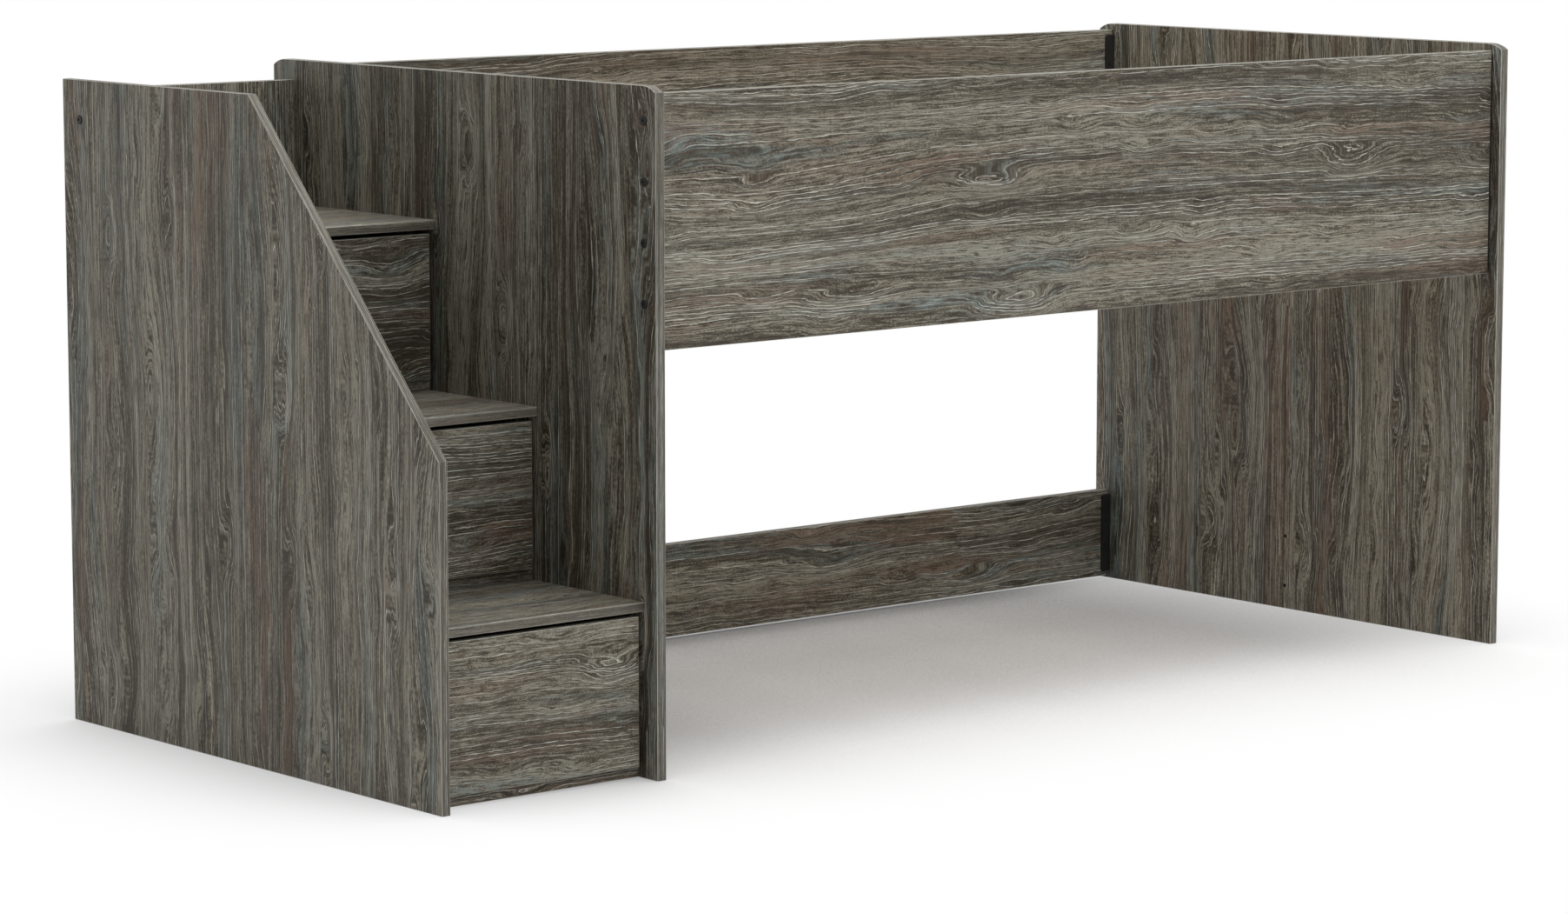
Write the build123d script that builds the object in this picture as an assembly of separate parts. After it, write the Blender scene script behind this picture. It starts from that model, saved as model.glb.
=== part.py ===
from build123d import *
import os

# Low loft bed with a three-step storage staircase at its head end.
# Millimetres. +X runs along the bed from the stairs to the foot, +Y from the front to the wall side,
# +Z up. The origin is on the floor, under the middle of the whole piece.

# Bed end panels, side rails and stretcher
BED_LENGTH = 1980.0
BED_DEPTH = 1050.0
END_HEIGHT = 1102.0
END_THICK = 18.0
END_CORNER_RUN = 34.0
END_CORNER_DROP = 10.5
RAIL_THICK = 18.0
RAIL_HEIGHT = 406.0
RAIL_DROP = 12.0
RAIL_INSET = 20.0
STRETCHER_HEIGHT = 173.0
STRETCHER_LIFT = 5.0
EDGE_R = 1.0

# Mattress support
LEDGER_WIDTH = 22.0
LEDGER_HEIGHT = 40.0
LEDGER_LIFT = 12.0
LEDGER_END_GAP = 48.0
SLAT_COUNT = 10
SLAT_WIDTH = 100.0
SLAT_THICK = 18.0
SLAT_END_GAP = 3.0
SLAT_EDGE_R = 2.0

# Corner brackets of the rails
BRACKET_THICK = 4.0
BRACKET_WIDTH = 22.0
BRACKET_MARGIN = 10.0
BRACKET_CORNER_R = 4.0
BRACKET_SCREW_EDGE = 8.0
BRACKET_SCREW_STEP = 24.0

# Connecting bolts and their barrel nuts
BOLT_D = 6.0
BOLT_HEAD_D = 15.0
BOLT_HEAD_H = 2.2
BOLT_HEX = 4.0
BOLT_HEX_DEPTH = 1.6
BOLT_HOLE_PLAY = 0.4
BOLT_PITCH = 96.0
RAIL_BOLT_DROP = 43.0
STRETCHER_BOLT_DROP = 38.0
BOLT_LAST_EDGE = 24.0
NUT_D = 10.0
NUT_LENGTH = 15.0
NUT_SETBACK = 28.0
NUT_SLOT_WIDTH = 1.4
NUT_SLOT_DEPTH = 1.2
THREAD_PLAY = 0.1
HARDWARE_PLAY = 0.1

# Wood screws
SCREW_D = 4.0
SCREW_HEAD_D = 8.0
SCREW_HEAD_H = 2.4
SCREW_PILOT_PLAY = 0.1
BRACKET_SCREW_BITE = 12.0
LEDGER_SCREW_BITE = 12.0
SLAT_SCREW_BITE = 20.0

# Staircase shell
STAIR_WIDTH = 407.0
STAIR_BOARD = 16.0
STAIR_SIDE_DROP = 19.0
SLANT_START = 502.0
SLANT_FOOT = 548.0
STAIR_BACK_DROP = 34.0
STAIR_BACK_INSET = 43.0
STAIR_BOLT_DROP = 51.0
STEP_COUNT = 3
TREAD_RISE = 285.0
TREAD_RUN = 276.5
TREAD_SETBACK = 31.0
TREAD_THICK = 16.0
TREAD_EDGE_R = 2.5
STEP_RAIL_SETBACK = 19.0
STEP_RAIL_THICK = 16.0
STEP_RAIL_HEIGHT = 40.0

# Cam locks and dowels of the staircase
CAM_D = 15.0
CAM_H = 12.3
CAM_SETBACK = 24.0
CAM_EDGE = 60.0
CAM_CROSS_WIDTH = 2.0
CAM_CROSS_DEPTH = 1.5
POST_D = 6.0
POST_BITE = 11.0
POST_PAST_CAM = 1.5
DOWEL_D = 8.0
DOWEL_PANEL_BITE = 11.0
DOWEL_BOARD_BITE = 20.0
DOWEL_END_PLAY = 0.4
DOWEL_EDGE = 105.0
RAIL_DOWEL_EDGE = 11.0
BACK_DOWEL_FIRST = 90.0
BACK_DOWEL_PITCH = 300.0

# Drawers
FRONT_THICK = 15.0
FRONT_SETBACK = 3.0
FRONT_SIDE_GAP = 10.0
FRONT_TOP_GAP = 7.0
FRONT_LIFT = 20.0
FINGER_BEVEL = 9.0
BOX_BACK_GAP = 23.0
BOX_WALL = 12.0
BOX_HEIGHT = 190.0
BOX_RAIL_GAP = 6.0
FLOOR_THICK = 4.0
FLOOR_LIFT = 10.0
GROOVE_DEPTH = 5.0
GROOVE_PLAY = 0.2

# Drawer runners
RUNNER_SPACE = 12.7
RUNNER_HEIGHT = 35.0
RUNNER_SHEET = 1.2
RUNNER_PLAY = 0.4
RUNNER_END_PLAY = 0.9
RUNNER_LIFT = 50.0
RUNNER_SETBACK = 4.0
RUNNER_BACK_GAP = 12.0

# Spare holes on the inside of the footboard
SPARE_HOLE_COUNT = 2
SPARE_HOLE_D = 5.0
SPARE_HOLE_DEPTH = 9.0
SPARE_HOLE_Z = 44.0

# Places worked out from the sizes
overall_length = BED_LENGTH + STAIR_WIDTH + STAIR_BOARD
foot_out = overall_length / 2
foot_in = foot_out - END_THICK
head_out = foot_out - BED_LENGTH
head_in = head_out + END_THICK
side_in = head_out - STAIR_WIDTH
side_out = side_in - STAIR_BOARD
front = -BED_DEPTH / 2
rear = BED_DEPTH / 2
rail_top = END_HEIGHT - RAIL_DROP
rail_bottom = rail_top - RAIL_HEIGHT
front_rail_in = front + RAIL_INSET + RAIL_THICK
rear_rail_in = rear - RAIL_INSET - RAIL_THICK
front_rail_mid = front_rail_in - RAIL_THICK / 2
rear_rail_mid = rear_rail_in + RAIL_THICK / 2
stretcher_top = STRETCHER_LIFT + STRETCHER_HEIGHT
ledger_bottom = rail_bottom + LEDGER_LIFT
ledger_top = ledger_bottom + LEDGER_HEIGHT
slat_top = ledger_top + SLAT_THICK
stair_side_top = END_HEIGHT - STAIR_SIDE_DROP
stair_back_top = END_HEIGHT - STAIR_BACK_DROP
back_rear = rear - STAIR_BACK_INSET
back_front = back_rear - STAIR_BOARD
back_mid = (back_front + back_rear) / 2
first_nose = front + TREAD_SETBACK
last_nose = first_nose + (STEP_COUNT - 1) * TREAD_RUN
box_depth = back_front - BOX_BACK_GAP - (last_nose + FRONT_SETBACK + FRONT_THICK)
runner_length = box_depth - RUNNER_SETBACK - RUNNER_BACK_GAP
STEP_NAMES = ["lower", "middle", "upper"]

nodes = {}
holes = {}


def keep(name, shape):
    """File a finished piece under its name."""
    nodes[name] = shape


def drill(name, tool):
    """Note a hole to be cut in the named piece when it is finished."""
    holes.setdefault(name, []).append(tool)


def block(x, y, z):
    """Box between two places on each axis."""
    size = Box(x[1] - x[0], y[1] - y[0], z[1] - z[0], align=(Align.MIN, Align.MIN, Align.MIN))
    return Pos(x[0], y[0], z[0]) * size


def board(x, y, z, edge_r=EDGE_R):
    """Board with every edge eased."""
    plain = block(x, y, z)
    return fillet(plain.edges(), edge_r)


def rod_x(x, y, z, diameter):
    """Round bar along X between two places."""
    bar = Cylinder(diameter / 2, x[1] - x[0], align=(Align.CENTER, Align.CENTER, Align.MIN))
    return Pos(x[0], y, z) * (Rot(0, 90, 0) * bar)


def rod_y(x, y, z, diameter):
    """Round bar along Y between two places."""
    bar = Cylinder(diameter / 2, y[1] - y[0], align=(Align.CENTER, Align.CENTER, Align.MIN))
    return Pos(x, y[0], z) * (Rot(-90, 0, 0) * bar)


def rod_z(x, y, z, diameter):
    """Round bar along Z between two places."""
    bar = Cylinder(diameter / 2, z[1] - z[0], align=(Align.CENTER, Align.CENTER, Align.MIN))
    return Pos(x, y, z[0]) * bar


def span(a, b):
    """Two places in rising order."""
    return (min(a, b), max(a, b))


def pattern(first, last, pitch):
    """Places from first towards last, one pitch apart, none past last."""
    step = pitch if last > first else -pitch
    count = int(abs(last - first) / pitch + 1e-6) + 1
    return [first + step * i for i in range(count)]


def wood_screw(length):
    """Countersunk screw along +Z with its head's flat top at the origin and its point below."""
    head = Cone(SCREW_D / 2, SCREW_HEAD_D / 2, SCREW_HEAD_H, align=(Align.CENTER, Align.CENTER, Align.MAX))
    shank_low = -(length - SCREW_D)
    shank = rod_z(0, 0, (shank_low, -SCREW_HEAD_H), SCREW_D)
    point = Pos(0, 0, shank_low) * Cone(
        SCREW_D / 8, SCREW_D / 2, SCREW_D, align=(Align.CENTER, Align.CENTER, Align.MAX)
    )
    slot = block((-SCREW_HEAD_D / 3, SCREW_HEAD_D / 3), (-SCREW_D / 10, SCREW_D / 10), (-SCREW_HEAD_H / 2, 0))
    cross = Rot(0, 0, 90) * slot
    return head + shank + point - slot - cross


def screw_hole(length):
    """Pilot hole and countersink for a wood screw, in the screw's own place."""
    play = SCREW_PILOT_PLAY
    head = Cone(
        SCREW_D / 2 + play, SCREW_HEAD_D / 2 + play, SCREW_HEAD_H, align=(Align.CENTER, Align.CENTER, Align.MAX)
    )
    shank = rod_z(0, 0, (-length - play, 0), SCREW_D + 2 * play)
    return head + shank


def connecting_bolt(reach):
    """Bolt along Z with its head above the seat at the origin and its tip past a nut centred reach below."""
    disc = Cylinder(BOLT_HEAD_D / 2, BOLT_HEAD_H, align=(Align.CENTER, Align.CENTER, Align.MIN))
    disc = fillet(disc.edges().sort_by(Axis.Z)[-1], BOLT_HEAD_H * 0.45)
    shank = rod_z(0, 0, (-reach - NUT_D / 2, 0), BOLT_D)
    hexagon = extrude(RegularPolygon(BOLT_HEX / 2, 6, major_radius=False), BOLT_HEX_DEPTH)
    return disc + shank - Pos(0, 0, BOLT_HEAD_H - BOLT_HEX_DEPTH) * hexagon


def barrel_nut():
    """Cross nut along Y, centred on the origin, with its slotted end towards +Y."""
    end = NUT_LENGTH / 2
    body = rod_y(0, (-end, end), 0, NUT_D)
    thread = rod_x((-NUT_D, NUT_D), 0, 0, BOLT_D + 2 * THREAD_PLAY)
    slot = block((-NUT_D, NUT_D), (end - NUT_SLOT_DEPTH, end), (-NUT_SLOT_WIDTH / 2, NUT_SLOT_WIDTH / 2))
    return body - thread - slot


def bolt_holes(panel, leg, target, seat_x, way, y, z, reach, thick, nut_side):
    """Clearance holes for one bolt in its panel, bracket leg and target board, and the nut's blind hole."""
    hole_d = BOLT_D + 2 * BOLT_HOLE_PLAY
    through = rod_x(span(seat_x, seat_x + way * (reach + NUT_D)), y, z, hole_d)
    for name in (panel, leg, target):
        if name:
            drill(name, through)
    nut_x = seat_x + way * reach
    mouth = y + nut_side * thick / 2
    bottom = y - nut_side * (NUT_LENGTH / 2 + HARDWARE_PLAY)
    drill(target, rod_y(nut_x, span(mouth, bottom), z, NUT_D + 2 * HARDWARE_PLAY))


def nut_place(x, y, z, slot_way):
    """Place of a barrel nut whose slotted end faces the given way along Y."""
    return Pos(x, y, z) * Rot(0, 0, 0 if slot_way > 0 else 180)


def finished(name, shape):
    """Piece with every hole that was noted for it."""
    tools = holes.get(name, [])
    return shape - tools if tools else shape


# End panels: tall boards whose top edge curves down to each side
def end_panel(x):
    shoulder = END_HEIGHT - END_CORNER_DROP
    with BuildSketch(Plane.YZ) as outline:
        with BuildLine():
            Polyline((front, shoulder), (front, 0), (rear, 0), (rear, shoulder))
            TangentArc((rear - END_CORNER_RUN, END_HEIGHT), (rear, shoulder), tangent=(1, 0))
            Line((rear - END_CORNER_RUN, END_HEIGHT), (front + END_CORNER_RUN, END_HEIGHT))
            TangentArc((front + END_CORNER_RUN, END_HEIGHT), (front, shoulder), tangent=(-1, 0))
        make_face()
    panel = Pos(x[0], 0, 0) * extrude(outline.sketch, x[1] - x[0], dir=(1, 0, 0))
    return fillet(panel.edges(), EDGE_R)


head_panel = end_panel((head_out, head_in))
foot_panel = end_panel((foot_in, foot_out))
for number in range(SPARE_HOLE_COUNT):
    hole_z = SPARE_HOLE_Z + number * BOLT_PITCH
    drill("footboard_panel", rod_x((foot_in, foot_in + SPARE_HOLE_DEPTH), 0, hole_z, SPARE_HOLE_D))

# Rails and stretcher run between the bracket legs that cap their ends
rail_x = (head_in + BRACKET_THICK, foot_in - BRACKET_THICK)
rail_z = (rail_bottom, rail_top)
stretcher_z = (STRETCHER_LIFT, stretcher_top)
RAILS = [
    # name, inner face, direction from the inner face into the bed, height range, first bolt below the top
    ("front_rail", front_rail_in, 1, rail_z, RAIL_BOLT_DROP),
    ("rear_rail", rear_rail_in, -1, rail_z, RAIL_BOLT_DROP),
    ("rear_stretcher", rear_rail_in, -1, stretcher_z, STRETCHER_BOLT_DROP),
]
rail_bolts = []
barrel_nuts = []
bracket_screws = []
rail_boards = {}
brackets = {}
bolt_reach = END_THICK + BRACKET_THICK + NUT_SETBACK
rail_bolt = connecting_bolt(bolt_reach)
cross_nut = barrel_nut()
bracket_screw_length = BRACKET_THICK + BRACKET_SCREW_BITE
bracket_screw = wood_screw(bracket_screw_length)
bracket_screw_hole = screw_hole(bracket_screw_length)
for name, inner, way_in, z, drop in RAILS:
    outer = inner - way_in * RAIL_THICK
    middle = (inner + outer) / 2
    rail_boards[name] = board(rail_x, span(inner, outer), z)
    leg_z = (z[0] + BRACKET_MARGIN, z[1] - BRACKET_MARGIN)
    bolt_places = pattern(z[1] - drop, z[0] + BOLT_LAST_EDGE, BOLT_PITCH)
    leg_middle = (leg_z[0] + leg_z[1]) / 2
    screw_places = [
        bolt_z + (BRACKET_SCREW_STEP if bolt_z < leg_middle else -BRACKET_SCREW_STEP) for bolt_z in bolt_places
    ]
    for end, seat_x, panel_x, way in (("head", head_out, head_in, 1), ("foot", foot_out, foot_in, -1)):
        bracket = f"{name}_{end}_bracket"
        panel = f"{end}board_panel"
        cap_x = span(panel_x, panel_x + way * BRACKET_THICK)
        cap = block(cap_x, span(outer, inner + way_in * BRACKET_THICK), leg_z)
        face_y = span(inner, inner + way_in * BRACKET_THICK)
        face = block(span(panel_x, panel_x + way * BRACKET_WIDTH), face_y, leg_z)
        angle = cap + face
        free_end = angle.edges().filter_by(Axis.Y).group_by(Axis.X)[-1 if way > 0 else 0]
        brackets[bracket] = fillet(free_end, BRACKET_CORNER_R)
        for bolt_z in bolt_places:
            rail_bolts.append(Pos(seat_x, middle, bolt_z) * Rot(0, -90 * way, 0) * rail_bolt)
            barrel_nuts.append(nut_place(seat_x + way * bolt_reach, middle, bolt_z, way_in) * cross_nut)
            bolt_holes(panel, bracket, name, seat_x, way, middle, bolt_z, bolt_reach, RAIL_THICK, way_in)
        screw_x = panel_x + way * (BRACKET_WIDTH - BRACKET_SCREW_EDGE)
        for screw_z in screw_places:
            place = Pos(screw_x, inner + way_in * BRACKET_THICK, screw_z) * Rot(-90 * way_in, 0, 0)
            bracket_screws.append(place * bracket_screw)
            for target in (bracket, name):
                drill(target, place * bracket_screw_hole)

# Ledgers carry the slats along the inner faces of the two side rails
slat_gap = (foot_in - head_in - SLAT_COUNT * SLAT_WIDTH) / (SLAT_COUNT + 1)
slat_starts = [head_in + slat_gap + i * (SLAT_WIDTH + slat_gap) for i in range(SLAT_COUNT)]
ledger_x = (head_in + LEDGER_END_GAP, foot_in - LEDGER_END_GAP)
ledger_middle_z = (ledger_bottom + ledger_top) / 2
ledger_screw_length = LEDGER_WIDTH + LEDGER_SCREW_BITE
ledger_screw = wood_screw(ledger_screw_length)
ledger_screw_hole = screw_hole(ledger_screw_length)
slat_screw_length = SLAT_THICK + SLAT_SCREW_BITE
slat_screw = wood_screw(slat_screw_length)
slat_screw_hole = screw_hole(slat_screw_length)
ledger_screws = []
slat_screws = []
ledgers = {}
for name, rail, inner, way_in in (
    ("front_ledger", "front_rail", front_rail_in, 1),
    ("rear_ledger", "rear_rail", rear_rail_in, -1),
):
    ledgers[name] = board(ledger_x, span(inner, inner + way_in * LEDGER_WIDTH), (ledger_bottom, ledger_top))
    for start in slat_starts[1::2]:
        place = Pos(start - slat_gap / 2, inner + way_in * LEDGER_WIDTH, ledger_middle_z)
        place = place * Rot(-90 * way_in, 0, 0)
        ledger_screws.append(place * ledger_screw)
        for target in (name, rail):
            drill(target, place * ledger_screw_hole)

slat_y = (front_rail_in + SLAT_END_GAP, rear_rail_in - SLAT_END_GAP)
for number, start in enumerate(slat_starts, 1):
    slat = f"slat_{number:02d}"
    shape = board((start, start + SLAT_WIDTH), slat_y, (ledger_top, slat_top), SLAT_EDGE_R)
    for name, inner, way_in in (("front_ledger", front_rail_in, 1), ("rear_ledger", rear_rail_in, -1)):
        place = Pos(start + SLAT_WIDTH / 2, inner + way_in * LEDGER_WIDTH / 2, slat_top)
        slat_screws.append(place * slat_screw)
        for target in (slat, name):
            drill(target, place * slat_screw_hole)
    keep(slat, finished(slat, shape))

# Staircase shell: outer side panel with a slanted guard edge, and a back panel
with BuildSketch(Plane.YZ) as side_outline:
    with BuildLine():
        Polyline(
            (front, 0),
            (front, SLANT_FOOT),
            (front + SLANT_START, stair_side_top),
            (rear, stair_side_top),
            (rear, 0),
            close=True,
        )
    make_face()
side_panel = Pos(side_out, 0, 0) * extrude(side_outline.sketch, STAIR_BOARD, dir=(1, 0, 0))
side_panel = fillet(side_panel.edges(), EDGE_R)
back_panel = board((side_in, head_out), (back_front, back_rear), (0, stair_back_top))

stair_bolts = []
cam_locks = []
cam_posts = []
stair_dowels = []
STAIR_ENDS = [
    # panel at that end, its face towards the stairs, direction from that face into the stairs, its thickness
    ("stair_side_panel", side_in, 1, STAIR_BOARD),
    ("headboard_panel", head_out, -1, END_THICK),
]


def add_dowel(panel, target, face_x, way, y, z):
    """Dowel half in an end panel and half in the end of a board."""
    body_x = span(face_x - way * DOWEL_PANEL_BITE, face_x + way * DOWEL_BOARD_BITE)
    stair_dowels.append(rod_x(body_x, y, z, DOWEL_D))
    bore_x = (body_x[0] - DOWEL_END_PLAY, body_x[1] + DOWEL_END_PLAY)
    bore = rod_x(bore_x, y, z, DOWEL_D + 2 * HARDWARE_PLAY)
    drill(panel, bore)
    drill(target, bore)


def add_cam(panel, target, face_x, way, y, under):
    """Cam lock under a board's end, with the post that it draws in from an end panel."""
    cam_x = face_x + way * CAM_SETBACK
    post_z = under + TREAD_THICK / 2
    post_x = span(face_x - way * POST_BITE, cam_x + way * POST_PAST_CAM)
    cam_posts.append(rod_x(post_x, y, post_z, POST_D))
    bore_x = (post_x[0] - DOWEL_END_PLAY, post_x[1] + DOWEL_END_PLAY)
    bore = rod_x(bore_x, y, post_z, POST_D + 2 * HARDWARE_PLAY)
    drill(panel, bore)
    drill(target, bore)
    drill(target, rod_z(cam_x, y, (under, under + CAM_H + HARDWARE_PLAY), CAM_D + 2 * HARDWARE_PLAY))
    arm = CAM_D / 3
    half = CAM_CROSS_WIDTH / 2
    slot_z = (under, under + CAM_CROSS_DEPTH)
    cam = rod_z(cam_x, y, (under, under + CAM_H), CAM_D) - bore
    cam = cam - block((cam_x - arm, cam_x + arm), (y - half, y + half), slot_z)
    cam = cam - block((cam_x - half, cam_x + half), (y - arm, y + arm), slot_z)
    cam_locks.append(cam)


for panel, face_x, way, thick in STAIR_ENDS:
    seat_x = face_x - way * thick
    bolt_z = stair_back_top - STAIR_BOLT_DROP
    reach = thick + NUT_SETBACK
    stair_bolts.append(Pos(seat_x, back_mid, bolt_z) * Rot(0, -90 * way, 0) * connecting_bolt(reach))
    barrel_nuts.append(nut_place(seat_x + way * reach, back_mid, bolt_z, 1) * cross_nut)
    bolt_holes(panel, None, "stair_back_panel", seat_x, way, back_mid, bolt_z, reach, STAIR_BOARD, 1)
    for dowel_z in pattern(BACK_DOWEL_FIRST, bolt_z - BOLT_PITCH, BACK_DOWEL_PITCH):
        add_dowel(panel, "stair_back_panel", face_x, way, back_mid, dowel_z)

# Steps: a tread, the low rail under the drawer, and the drawer on its runners
runner_tracks = []
for level, step in enumerate(STEP_NAMES[:STEP_COUNT]):
    base = level * TREAD_RISE
    tread_top = base + TREAD_RISE
    tread_under = tread_top - TREAD_THICK
    nose = first_nose + level * TREAD_RUN
    next_rail_back = nose + TREAD_RUN + STEP_RAIL_SETBACK + STEP_RAIL_THICK
    tread_back = back_front if level == STEP_COUNT - 1 else next_rail_back
    tread_name = f"{step}_tread"
    rail_name = f"{step}_step_rail"
    rail_y = (nose + STEP_RAIL_SETBACK, nose + STEP_RAIL_SETBACK + STEP_RAIL_THICK)
    tread = board((side_in, head_out), (nose, tread_back), (tread_under, tread_top), TREAD_EDGE_R)
    step_rail = board((side_in, head_out), rail_y, (base, base + STEP_RAIL_HEIGHT))
    for panel, face_x, way, thick in STAIR_ENDS:
        for y in (nose + CAM_EDGE, tread_back - CAM_EDGE):
            add_cam(panel, tread_name, face_x, way, y, tread_under)
        for y in (nose + DOWEL_EDGE, tread_back - DOWEL_EDGE):
            add_dowel(panel, tread_name, face_x, way, y, tread_under + TREAD_THICK / 2)
        for z in (base + RAIL_DOWEL_EDGE, base + STEP_RAIL_HEIGHT - RAIL_DOWEL_EDGE):
            add_dowel(panel, rail_name, face_x, way, (rail_y[0] + rail_y[1]) / 2, z)
    keep(tread_name, finished(tread_name, tread))
    keep(rail_name, finished(rail_name, step_rail))

    # Drawer box: sides and back on a grooved floor, closed in front by the show panel
    drawer = f"{step}_drawer"
    front_y = (nose + FRONT_SETBACK, nose + FRONT_SETBACK + FRONT_THICK)
    front_z = (base + FRONT_LIFT, tread_under - FRONT_TOP_GAP)
    front_x = (side_in + FRONT_SIDE_GAP, head_out - FRONT_SIDE_GAP)
    box_x = (side_in + RUNNER_SPACE, head_out - RUNNER_SPACE)
    box_y = (front_y[1], front_y[1] + box_depth)
    box_low = base + STEP_RAIL_HEIGHT + BOX_RAIL_GAP
    box_z = (box_low, box_low + BOX_HEIGHT)
    floor_z = (box_low + FLOOR_LIFT, box_low + FLOOR_LIFT + FLOOR_THICK)
    inside_x = (box_x[0] + BOX_WALL, box_x[1] - BOX_WALL)
    back_y = (box_y[1] - BOX_WALL, box_y[1])
    floor_x = (inside_x[0] - GROOVE_DEPTH, inside_x[1] + GROOVE_DEPTH)
    floor_y = (box_y[0] - GROOVE_DEPTH, box_y[1])
    groove = block(
        (floor_x[0] - GROOVE_PLAY, floor_x[1] + GROOVE_PLAY),
        (floor_y[0] - GROOVE_PLAY, floor_y[1] + BOX_WALL),
        (floor_z[0] - GROOVE_PLAY, floor_z[1] + GROOVE_PLAY),
    )
    show_panel = board(front_x, front_y, front_z)
    with BuildSketch(Plane.YZ) as bevel:
        with BuildLine():
            Polyline(
                (front_y[1], front_z[0]),
                (front_y[1] - FINGER_BEVEL, front_z[0]),
                (front_y[1], front_z[0] + FINGER_BEVEL),
                close=True,
            )
        make_face()
    bevel_cut = Pos(front_x[0], 0, 0) * extrude(bevel.sketch, front_x[1] - front_x[0], dir=(1, 0, 0))
    keep(f"{drawer}_front", show_panel - bevel_cut - groove)
    keep(f"{drawer}_left_side", block((box_x[0], inside_x[0]), box_y, box_z) - groove)
    keep(f"{drawer}_right_side", block((inside_x[1], box_x[1]), box_y, box_z) - groove)
    keep(f"{drawer}_back", block(inside_x, back_y, (floor_z[1], box_z[1])))
    keep(f"{drawer}_floor", block(floor_x, floor_y, floor_z))

    # Runners: a channel on each end panel, and a slimmer channel on each drawer side that slides in it
    slide_pair = []
    track_y = (box_y[0] + RUNNER_SETBACK, box_y[0] + RUNNER_SETBACK + runner_length)
    track_z = (box_low + RUNNER_LIFT, box_low + RUNNER_LIFT + RUNNER_HEIGHT)
    inner_z = (track_z[0] + RUNNER_SHEET, track_z[1] - RUNNER_SHEET)
    slide_z = (inner_z[0] + RUNNER_PLAY, inner_z[1] - RUNNER_PLAY)
    slide_inner_z = (slide_z[0] + RUNNER_SHEET, slide_z[1] - RUNNER_SHEET)
    for panel, face_x, way, thick in STAIR_ENDS:
        track_edge = face_x + way * (RUNNER_SPACE - RUNNER_SHEET - RUNNER_PLAY)
        track = block(span(face_x, track_edge), track_y, track_z)
        track = track - block(span(face_x + way * RUNNER_SHEET, track_edge), track_y, inner_z)
        runner_tracks.append(track)
        slide_edge = face_x + way * (RUNNER_SHEET + RUNNER_END_PLAY)
        slide_face = face_x + way * RUNNER_SPACE
        slide = block(span(slide_edge, slide_face), track_y, slide_z)
        slide = slide - block(span(slide_edge, slide_face - way * RUNNER_SHEET), track_y, slide_inner_z)
        slide_pair.append(slide)
    keep(f"{drawer}_slides", Compound(children=slide_pair))

# Boards that take holes from several neighbours are finished last
keep("headboard_panel", finished("headboard_panel", head_panel))
keep("footboard_panel", finished("footboard_panel", foot_panel))
keep("stair_side_panel", finished("stair_side_panel", side_panel))
keep("stair_back_panel", finished("stair_back_panel", back_panel))
for group in (rail_boards, brackets, ledgers):
    for name, shape in group.items():
        keep(name, finished(name, shape))

# Like pieces of hardware share a node as separate solids
keep("rail_bolts", Compound(children=rail_bolts))
keep("stair_bolts", Compound(children=stair_bolts))
keep("barrel_nuts", Compound(children=barrel_nuts))
keep("bracket_screws", Compound(children=bracket_screws))
keep("ledger_screws", Compound(children=ledger_screws))
keep("slat_screws", Compound(children=slat_screws))
keep("cam_locks", Compound(children=cam_locks))
keep("cam_posts", Compound(children=cam_posts))
keep("stair_dowels", Compound(children=stair_dowels))
keep("runner_tracks", Compound(children=runner_tracks))

os.makedirs("parts", exist_ok=True)
for name, shape in nodes.items():
    export_step(shape, f"parts/{name}.step")
print(len(nodes), "pieces written")
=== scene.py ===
import math

import bpy
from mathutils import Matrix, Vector

bl_info = {
    "name": "Loft bed with storage stairs",
    "version": (1, 0, 0),
    "blender": (4, 2, 0),
    "location": "3D View > Sidebar > Loft bed",
    "description": "Weathered oak laminate, hardware finishes and a white studio for a low loft bed",
    "category": "Object",
}

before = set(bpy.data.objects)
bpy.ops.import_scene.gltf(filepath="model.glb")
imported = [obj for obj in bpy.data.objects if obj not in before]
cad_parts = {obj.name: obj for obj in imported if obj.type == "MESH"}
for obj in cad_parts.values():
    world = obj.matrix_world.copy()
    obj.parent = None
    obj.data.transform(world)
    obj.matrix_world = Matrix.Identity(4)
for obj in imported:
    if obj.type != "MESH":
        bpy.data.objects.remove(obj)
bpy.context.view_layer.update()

STEPS = ("lower", "middle", "upper")

# Oak print: what a board tells it, and what it gives back
OAK_PRINT = "weathered oak print"
OAK_INPUTS = (
    "Along", "Across", "Edge", "Arris", "Stretch", "Wave", "Bands", "Lime", "Rubbed", "Heart", "Knot length",
    "Knot width", "Arch length", "Arch width", "Tone",
)
OAK_OUTPUTS = {"Colour": "NodeSocketColor", "Roughness": "NodeSocketFloat", "Normal": "NodeSocketVector"}

# How a board was sawn: stretch of its grain, strengths of its layers, and sizes of knots and arches in metres
FLAT_SAWN = {
    "Stretch": 1.5, "Wave": 1.0, "Bands": 0.45, "Lime": 1.0, "Rubbed": 0.75, "Heart": 0.40,
    "Knot length": 0.40, "Knot width": 0.11, "Arch length": 0.9, "Arch width": 0.24,
}
STRAIGHT_SAWN = {
    "Stretch": 2.1, "Wave": 0.75, "Bands": 1.6, "Lime": 0.95, "Rubbed": 0.75, "Heart": 0.10,
    "Knot length": 0.26, "Knot width": 0.085, "Arch length": 0.60, "Arch width": 0.12,
}
TRODDEN = {"Wave": 0.6, "Lime": 0.7, "Rubbed": 0.3}
SMALL_BOARD = {"Stretch": 1.1, "Knot length": 0.30, "Knot width": 0.12}

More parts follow.
